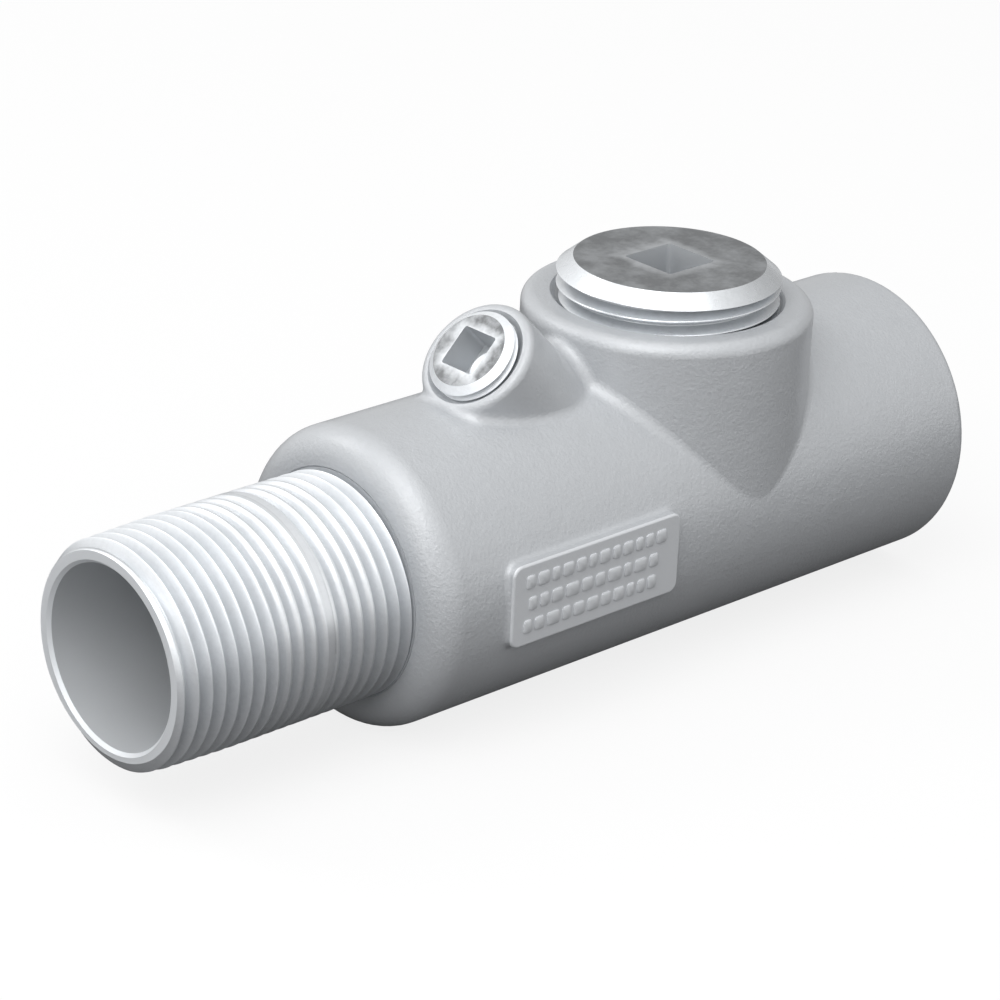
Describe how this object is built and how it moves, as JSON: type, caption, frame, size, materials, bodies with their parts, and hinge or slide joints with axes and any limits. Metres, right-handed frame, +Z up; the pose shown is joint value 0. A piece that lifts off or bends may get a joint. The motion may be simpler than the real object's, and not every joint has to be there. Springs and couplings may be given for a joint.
{
  "type": "conduit sealing fitting",
  "caption": "Cast conduit sealing fitting with a female hub, a threaded steel nipple, and screwed closure and pouring plugs.",
  "frame": {"origin": "middle of the female hub's mouth, where the next conduit enters", "axes": "+X along the run, out of the female hub; +Z up along the closure plug's axis; +Y completes the right hand"},
  "size_m": [0.1501, 0.0452, 0.0573],
  "materials": {
    "casting": "aluminium-grey enamel over a fine cast skin",
    "nipple_steel": "bright zinc plate",
    "plug_steel": "bright zinc plate"
  },
  "bodies": {
    "fitting": {"sealing_body": "casting", "male_nipple": "nipple_steel"},
    "large_plug": {"closure_plug": "plug_steel"},
    "small_plug": {"pouring_plug": "plug_steel"}
  },
  "joints": [
    {"name": "closure_plug_out", "type": "slide", "parent": "fitting", "child": "large_plug", "axis": [0, 0, 1], "range_m": [0, 0.02]},
    {"name": "pouring_plug_out", "type": "slide", "parent": "fitting", "child": "small_plug", "axis": [-0.7071, 0, 0.7071], "range_m": [0, 0.014]}
  ]
}
